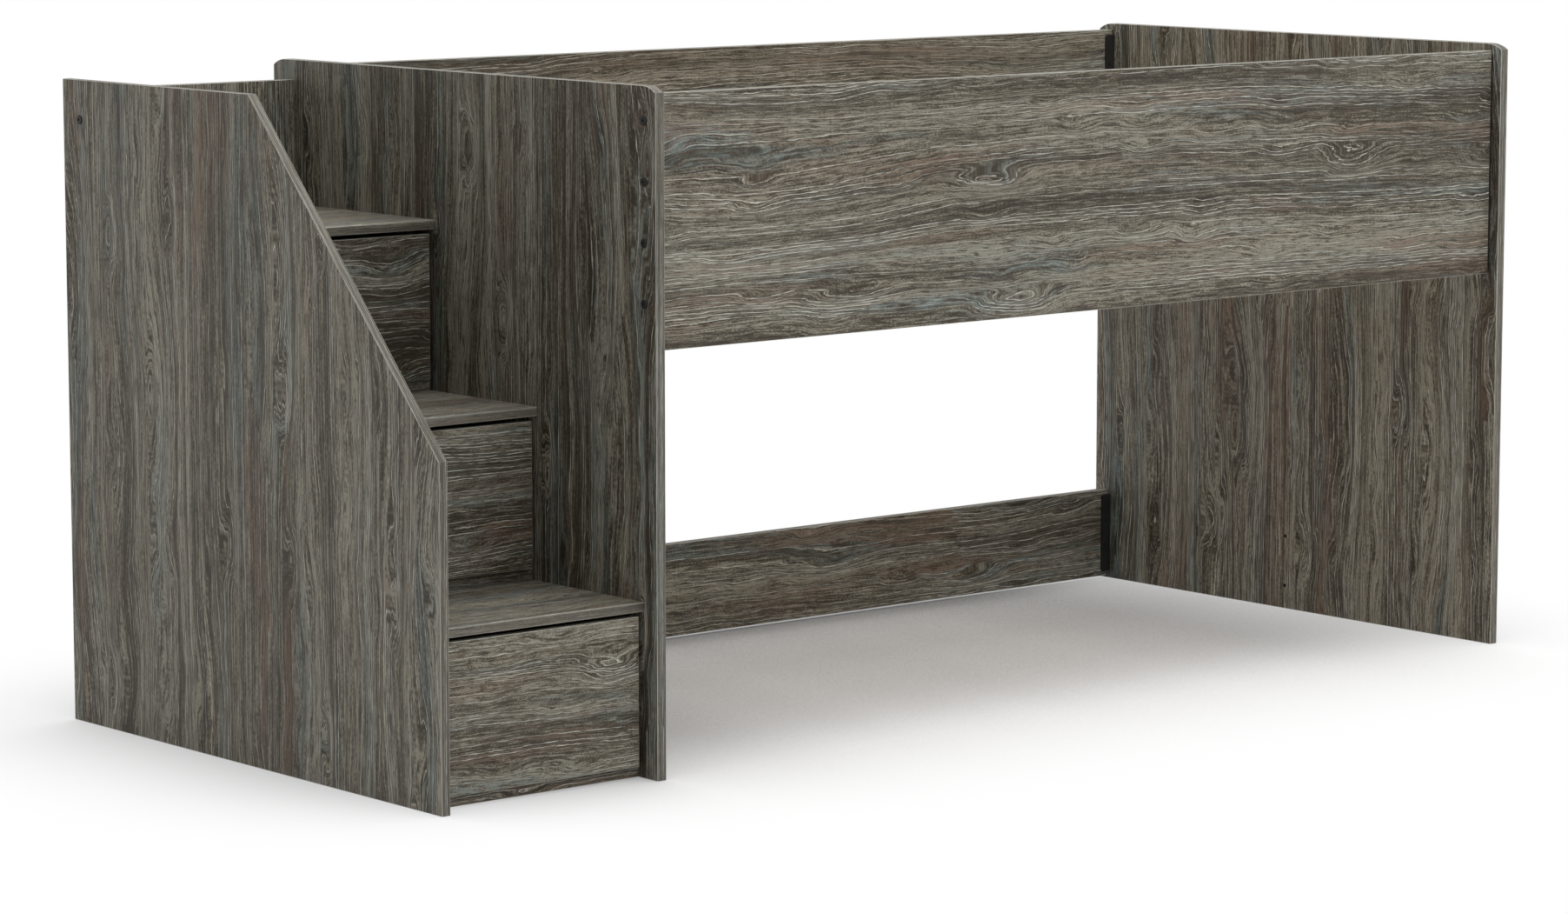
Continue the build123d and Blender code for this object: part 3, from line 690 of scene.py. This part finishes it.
def weathered_oak(name, along, across, holes=(), **sawn):
    """Limed and greyed oak laminate for one board, with its own cut of the print."""
    finish, bench, shader = new_finish("weathered oak, " + name)
    tree = bpy.data.node_groups.get(OAK_PRINT) or OakPrint(bpy.context.scene.loft_bed_wood).build()
    sheet = bench.add("ShaderNodeGroup", node_tree=tree)
    shift = tuple(SHEETS[name] * gap for gap in SHEET_SHIFT)
    # The board's painted light and shade goes into the print as its tone
    told = board_grain(bench, along, across, shift) | FLAT_SAWN | sawn | {"Tone": BOARD_LIGHT_AND_SHADE.get(name, 0.0)}
    for socket, value in told.items():
        bench.feed(sheet.inputs[socket], value)
    colour = sheet.outputs["Colour"]
    # Painted shade in and around each spare hole
    for hole in holes:
        colour = bored(bench, colour, (across, along), hole)
    bench.feed(shader.inputs["Base Color"], colour)
    bench.feed(shader.inputs["Roughness"], sheet.outputs["Roughness"])
    bench.feed(shader.inputs["Normal"], sheet.outputs["Normal"])
    shader.inputs["Specular IOR Level"].default_value = PRINT_SPECULAR
    return finish


def plain_wood(name, along, across, light, dark):
    """Planed wood with soft rings, small brown knots and a tone that changes from board to board."""
    finish, bench, shader = new_finish(name)
    board = board_grain(bench, along, across)

    def grain(per_length, per_width, layer, detail, roughness):
        lengthwise = bench.product(board["Along"], per_length)
        place = bench.place(lengthwise, bench.product(board["Across"], per_width), layer)
        return bench.noise(place, detail, roughness)

    sides = [bench.math("DIVIDE", board[way], size) for way, size in zip(("Along", "Across"), KNOT_CELL)]
    distance, lot = bench.cells(bench.place(*sides))
    chosen = bench.math("LESS_THAN", lot["X"], KNOT_SHARE)
    knot = bench.product(bench.step(distance, *KNOT_EDGE), chosen)
    swell = bench.product(bench.step(distance, *KNOT_SWELL), chosen)
    straight_rings = bench.product(board["Across"], WOOD_RINGS)
    rings = bench.math("MULTIPLY_ADD", grain(*WOOD_WAVE), WAVE_RINGS, straight_rings)
    turn = bench.math("FRACT", bench.math("MULTIPLY_ADD", swell, KNOT_RINGS, rings))
    late = bench.product(bench.step(turn, *LATE_START), bench.step(turn, *LATE_END))
    fibre = grain(*WOOD_FIBRE)
    share = bench.math("MULTIPLY_ADD", fibre, FIBRE_COVER, FIBRE_START)
    share = bench.math("MULTIPLY_ADD", late, LATE_COVER, share)
    colour = bench.paint(share, light, dark)
    colour = bench.paint(bench.step(grain(*WOOD_CLOUD), *CLOUD_COVER), colour, dark)
    # Painted highlight: arrises lightened toward the light wood colour
    colour = bench.paint(bench.product(board["Arris"], ARRIS_COVER), colour, light)
    colour = bench.paint(bench.product(knot, KNOT_COVER), colour, bpy.context.scene.loft_bed_wood.knot)
    bench.feed(shader.inputs["Base Color"], colour)
    gloss = bench.math("MULTIPLY_ADD", fibre, FIBRE_ROUGHNESS, WOOD_ROUGHNESS)
    bench.feed(shader.inputs["Roughness"], gloss)
    relief = bench.math("MULTIPLY_ADD", fibre, FIBRE_RELIEF, late)
    bench.feed(shader.inputs["Normal"], bench.bump(relief, WOOD_DEPTH))
    shader.inputs["Specular IOR Level"].default_value = WOOD_SPECULAR
    return finish


def drawer_foil(name, raw_under=False):
    """Grey foil with a faint woven print; a thin floor shows raw hardboard underneath."""
    finish, bench, shader = new_finish(name)
    colours = bpy.context.scene.loft_bed_finishes
    place = bench.coords("Object")
    threads = bench.total(*(bench.noise(bench.stretched(scales)) for scales in FOIL_THREADS))
    cloud = bench.noise(place, 3.0, 0.55, FOIL_CLOUDS)
    share = bench.math("MULTIPLY_ADD", bench.math("SUBTRACT", threads, 1.0), THREAD_SHARE, FOIL_SHARE)
    share = bench.math("MULTIPLY_ADD", bench.math("SUBTRACT", cloud, 0.5), CLOUD_SHARE, share)
    painted = bench.paint(share, colours.foil_thread, colours.foil)
    if raw_under:
        fibres = bench.noise(place, 4.0, 0.7, HARDBOARD_FIBRES)
        raw = bench.paint(bench.step(fibres, *HARDBOARD_LEVELS), colours.hardboard_fibre, colours.hardboard)
        upward = bench.parts(bench.coords("Normal"))["Z"]
        painted = bench.paint(bench.math("LESS_THAN", upward, UNDERSIDE), painted, raw)
    bench.feed(shader.inputs["Base Color"], painted)
    bench.feed(shader.inputs["Roughness"], bench.math("MULTIPLY_ADD", cloud, CLOUD_ROUGHNESS, FOIL_ROUGHNESS))
    bench.feed(shader.inputs["Normal"], bench.bump(threads, FOIL_DEPTH))
    return finish


def coated_steel(name, colour, worn, metallic, rough, peel):
    """Coated or plated steel with an uneven sheen, fine peel and rubbed arrises."""
    finish, bench, shader = new_finish(name)
    place = bench.coords("Object")
    cloud = bench.noise(place, 3.0, 0.6, STEEL_CLOUDS)
    grain = bench.noise(place, 2.0, 0.6, STEEL_PEEL)
    rub = bench.noise(bench.stretched(STEEL_RUBBING), 3.0, 0.65)
    flat = bench.largest(*bench.facing().values())
    arris = bench.product(bench.step(flat, *STEEL_ARRIS), bench.step(rub, *ARRIS_RUB))
    painted = bench.paint(bench.step(cloud, *CLOUD_WEAR), colour, worn)
    painted = bench.paint(bench.product(arris, ARRIS_WEAR), painted, worn)
    bench.feed(shader.inputs["Base Color"], painted)
    shader.inputs["Metallic"].default_value = metallic
    sheen = bench.math("MULTIPLY_ADD", bench.math("SUBTRACT", cloud, 0.5), CLOUD_SHEEN, rough)
    sheen = bench.math("MULTIPLY_ADD", bench.step(rub, *RUB_LEVELS), RUB_SHEEN, sheen)
    bench.feed(shader.inputs["Roughness"], sheen)
    bench.feed(shader.inputs["Normal"], bench.bump(grain, peel))
    return finish


class LOFTBED_OT_end_panels(bpy.types.Operator):
    """Finish the headboard and the footboard"""

    bl_idname = "loftbed.end_panels"
    bl_label = "End panels"

    def execute(self, context):
        dress(["headboard_panel"], weathered_oak("headboard", "Z", "Y", **STRAIGHT_SAWN))
        dress(["footboard_panel"], weathered_oak("footboard", "Z", "Y", holes=SPARE_HOLES, **STRAIGHT_SAWN))
        return {"FINISHED"}


class LOFTBED_OT_stair_panels(bpy.types.Operator):
    """Finish the side and the back of the stairs"""

    bl_idname = "loftbed.stair_panels"
    bl_label = "Stair panels"

    def execute(self, context):
        dress(["stair_side_panel"], weathered_oak("stair side", "Z", "Y", **STRAIGHT_SAWN))
        dress(["stair_back_panel"], weathered_oak("stair back", "Z", "X", **STRAIGHT_SAWN))
        return {"FINISHED"}


class LOFTBED_OT_rails(bpy.types.Operator):
    """Finish the guard rails and the stretcher"""

    bl_idname = "loftbed.rails"
    bl_label = "Rails and stretcher"

    def execute(self, context):
        dress(["front_rail"], weathered_oak("front rail", "X", "Z"))
        dress(["rear_rail"], weathered_oak("rear rail", "X", "Z"))
        dress(["rear_stretcher"], weathered_oak("stretcher", "X", "Z"))
        return {"FINISHED"}


class LOFTBED_OT_treads(bpy.types.Operator):
    """Finish the three treads"""

    bl_idname = "loftbed.treads"
    bl_label = "Treads"

    def execute(self, context):
        for step in STEPS:
            dress([f"{step}_tread"], weathered_oak(f"{step} tread", "X", "Y", **TRODDEN))
        return {"FINISHED"}


class LOFTBED_OT_step_rails(bpy.types.Operator):
    """Finish the low rails under the drawers"""

    bl_idname = "loftbed.step_rails"
    bl_label = "Step rails"

    def execute(self, context):
        for step in STEPS:
            dress([f"{step}_step_rail"], weathered_oak(f"{step} step rail", "X", "Z"))
        return {"FINISHED"}


class LOFTBED_OT_drawer_fronts(bpy.types.Operator):
    """Finish the show panels of the drawers"""

    bl_idname = "loftbed.drawer_fronts"
    bl_label = "Drawer fronts"

    def execute(self, context):
        for step in STEPS:
            dress([f"{step}_drawer_front"], weathered_oak(f"{step} drawer", "X", "Z", **SMALL_BOARD))
        return {"FINISHED"}


class LOFTBED_OT_drawer_boxes(bpy.types.Operator):
    """Finish the sides, backs and floors of the drawers"""

    bl_idname = "loftbed.drawer_boxes"
    bl_label = "Drawer boxes"

    def execute(self, context):
        walls = drawer_foil("drawer foil")
        floors = drawer_foil("drawer floor foil over hardboard", raw_under=True)
        for step in STEPS:
            dress([f"{step}_drawer_{part}" for part in ("left_side", "right_side", "back")], walls)
            dress([f"{step}_drawer_floor"], floors)
        return {"FINISHED"}


class LOFTBED_OT_slats(bpy.types.Operator):
    """Finish the slats and the ledgers that carry them"""

    bl_idname = "loftbed.slats"
    bl_label = "Slats and ledgers"

    def execute(self, context):
        wood = context.scene.loft_bed_wood
        slats = plain_wood("planed pine, slats", "Y", "X", wood.pine, wood.pine_ring)
        ledgers = plain_wood("planed pine, ledgers", "X", "Z", wood.pine, wood.pine_ring)
        dress([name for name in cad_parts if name.removeprefix("slat_").isdigit()], slats)
        dress(["front_ledger", "rear_ledger"], ledgers)
        return {"FINISHED"}


class LOFTBED_OT_brackets(bpy.types.Operator):
    """Finish the corner brackets"""

    bl_idname = "loftbed.brackets"
    bl_label = "Brackets"

    def execute(self, context):
        colours = context.scene.loft_bed_finishes
        finish = coated_steel(
            "black powder coat", colours.bracket, colours.bracket_worn, metallic=0.0, rough=0.52, peel=0.0002
        )
        dress([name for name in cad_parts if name.endswith("_bracket")], finish)
        return {"FINISHED"}


class LOFTBED_OT_bolts(bpy.types.Operator):
    """Finish the bolts and the bracket screws"""

    bl_idname = "loftbed.bolts"
    bl_label = "Bolts and bracket screws"

    def execute(self, context):
        colours = context.scene.loft_bed_finishes
        finish = coated_steel(
            "dark oxide", colours.bolt, colours.bolt_worn, metallic=0.10, rough=0.60, peel=0.00006
        )
        dress(["rail_bolts", "stair_bolts", "bracket_screws"], finish)
        return {"FINISHED"}


class LOFTBED_OT_nuts(bpy.types.Operator):
    """Finish the barrel nuts, cam locks and wood screws"""

    bl_idname = "loftbed.nuts"
    bl_label = "Nuts, cams and wood screws"

    def execute(self, context):
        colours = context.scene.loft_bed_finishes
        finish = coated_steel(
            "bright zinc", colours.zinc, colours.zinc_worn, metallic=1.0, rough=0.32, peel=0.00005
        )
        dress(["barrel_nuts", "cam_locks", "cam_posts", "ledger_screws", "slat_screws"], finish)
        return {"FINISHED"}


class LOFTBED_OT_runners(bpy.types.Operator):
    """Finish the drawer runners"""

    bl_idname = "loftbed.runners"
    bl_label = "Runners"

    def execute(self, context):
        colours = context.scene.loft_bed_finishes
        finish = coated_steel(
            "white runner coat", colours.runner, colours.runner_worn, metallic=0.0, rough=0.40, peel=0.00012
        )
        dress(["runner_tracks"] + [f"{step}_drawer_slides" for step in STEPS], finish)
        return {"FINISHED"}


class LOFTBED_OT_dowels(bpy.types.Operator):
    """Finish the dowels"""

    bl_idname = "loftbed.dowels"
    bl_label = "Dowels"

    def execute(self, context):
        wood = context.scene.loft_bed_wood
        dress(["stair_dowels"], plain_wood("beech dowel", "X", "Y", wood.beech, wood.beech_ring))
        return {"FINISHED"}


class LOFTBED_OT_stage(bpy.types.Operator):
    """Set up the white floor, the soft light and the camera"""

    bl_idname = "loftbed.stage"
    bl_label = "Studio"

    def execute(self, context):
        studio = context.scene.loft_bed_studio
        self.lay_floor(context, studio)
        self.light_room(context, studio)
        self.hang_lamp(context, "front lamp", studio.key_place, studio.key_size, studio.key)
        self.hang_lamp(context, "top lamp", studio.top_place, studio.top_size, studio.top)
        self.stand_camera(context, studio)
        context.scene.view_settings.view_transform = "Standard"
        return {"FINISHED"}

    def lay_floor(self, context, studio):
        """Wide flat floor just below the feet."""
        reach = FLOOR_REACH
        mesh = bpy.data.meshes.new("studio_floor")
        corners = [(-reach, -reach, 0.0), (reach, -reach, 0.0), (reach, reach, 0.0), (-reach, reach, 0.0)]
        mesh.from_pydata(corners, [], [(0, 1, 2, 3)])
        mesh.materials.append(self.floor_finish(studio))
        floor = bpy.data.objects.new("studio_floor", mesh)
        floor.location.z = -FLOOR_DROP
        context.scene.collection.objects.link(floor)

    def floor_finish(self, studio):
        """Floor that the camera sees as white, with the bed's soft shade, and that is clear from below."""
        finish, bench, shader = new_finish("studio floor")
        bench.tree.nodes.remove(shader)
        seen, straight = bench.seen()
        white = tuple(part * studio.floor_lift for part in studio.floor)
        nook = bench.add("ShaderNodeAmbientOcclusion", samples=NOOK_SAMPLES)
        nook.inputs["Distance"].default_value = studio.shade_reach
        shaded = bench.paint(1.0, nook.outputs["Color"], white, "MULTIPLY")
        paper = bench.add("ShaderNodeBsdfDiffuse")
        shown = bench.paint(studio.floor_shade, white, shaded)
        bench.feed(paper.inputs["Color"], bench.paint(seen, studio.floor, shown))

        spot = bench.parts(bench.coords("Object"))
        beyond = []
        for axis, middle, half in zip("XY", studio.shade_middle, studio.shade_half):
            aside = bench.math("ABSOLUTE", bench.math("SUBTRACT", spot[axis], middle))
            beyond.append(bench.largest(bench.math("SUBTRACT", aside, half), 0.0))
        fade = bench.step(bench.diagonal(*beyond), 0.0, studio.shade_fade)
        glow = bench.add("ShaderNodeEmission")
        lit = bench.blend(bench.product(seen, fade), paper.outputs[0], glow.outputs[0])

        below = bench.add("ShaderNodeNewGeometry").outputs["Backfacing"]
        clear = bench.add("ShaderNodeBsdfTransparent")
        surface = bench.blend(bench.product(below, straight), lit, clear.outputs[0])
        bench.feed(bench.tree.nodes["Material Output"].inputs["Surface"], surface)
        return finish

    def light_room(self, context, studio):
        """Even light from all round, seen as plain white."""
        world = bpy.data.worlds.new("studio room")
        context.scene.world = world
        world.use_nodes = True
        bench = NodeBench(world.node_tree)
        room = world.node_tree.nodes["Background"]
        room.inputs["Color"].default_value = (1.0, 1.0, 1.0, 1.0)
        bench.feed(room.inputs["Strength"], bench.pick(bench.seen()[0], studio.sky, 1.0))

    def hang_lamp(self, context, name, place, size, power):
        """Large square lamp that faces the bed."""
        lamp = bpy.data.lights.new(name, "AREA")
        lamp.shape = "SQUARE"
        lamp.size = size
        lamp.energy = power
        holder = bpy.data.objects.new(name, lamp)
        holder.location = place
        aim = Vector((0.0, 0.0, AIM_HEIGHT)) - Vector(place)
        holder.rotation_euler = aim.to_track_quat("-Z", "Y").to_euler()
        context.scene.collection.objects.link(holder)

    def stand_camera(self, context, studio):
        """Camera at the viewing angle of the studio picture."""
        eye = bpy.data.cameras.new("studio camera")
        eye.lens = studio.lens
        eye.sensor_width = FILM_WIDTH
        eye.sensor_fit = "HORIZONTAL"
        eye.clip_end = CLIP_END
        holder = bpy.data.objects.new("studio camera", eye)
        holder.location = studio.camera_place
        holder.rotation_euler = (math.pi / 2 - studio.camera_pitch, 0.0, -studio.camera_heading)
        context.scene.collection.objects.link(holder)
        context.scene.camera = holder


OPERATORS = (
    LOFTBED_OT_end_panels,
    LOFTBED_OT_stair_panels,
    LOFTBED_OT_rails,
    LOFTBED_OT_treads,
    LOFTBED_OT_step_rails,
    LOFTBED_OT_drawer_fronts,
    LOFTBED_OT_drawer_boxes,
    LOFTBED_OT_slats,
    LOFTBED_OT_brackets,
    LOFTBED_OT_bolts,
    LOFTBED_OT_nuts,
    LOFTBED_OT_runners,
    LOFTBED_OT_dowels,
    LOFTBED_OT_stage,
)

SETTINGS = {
    "loft_bed_wood": LoftBedWood,
    "loft_bed_finishes": LoftBedFinishes,
    "loft_bed_studio": LoftBedStudio,
}


class LOFTBED_PT_sidebar(bpy.types.Panel):
    """Sizes, colours and build steps of the loft bed"""

    bl_idname = "LOFTBED_PT_sidebar"
    bl_label = "Loft bed"
    bl_space_type = "VIEW_3D"
    bl_region_type = "UI"
    bl_category = "Loft bed"

    def draw(self, context):
        layout = self.layout
        for group_name, group in SETTINGS.items():
            box = layout.box()
            for name in group.__annotations__:
                box.prop(getattr(context.scene, group_name), name)
        for operator in OPERATORS:
            layout.operator(operator.bl_idname)


def register():
    for name, group in SETTINGS.items():
        bpy.utils.register_class(group)
        setattr(bpy.types.Scene, name, bpy.props.PointerProperty(type=group))
    for operator in OPERATORS:
        bpy.utils.register_class(operator)
    bpy.utils.register_class(LOFTBED_PT_sidebar)


def unregister():
    bpy.utils.unregister_class(LOFTBED_PT_sidebar)
    for operator in reversed(OPERATORS):
        bpy.utils.unregister_class(operator)
    for name, group in reversed(SETTINGS.items()):
        delattr(bpy.types.Scene, name)
        bpy.utils.unregister_class(group)


def main():
    register()
    for operator in OPERATORS:
        group, name = operator.bl_idname.split(".")
        getattr(getattr(bpy.ops, group), name)()


if __name__ == "__main__":
    main()
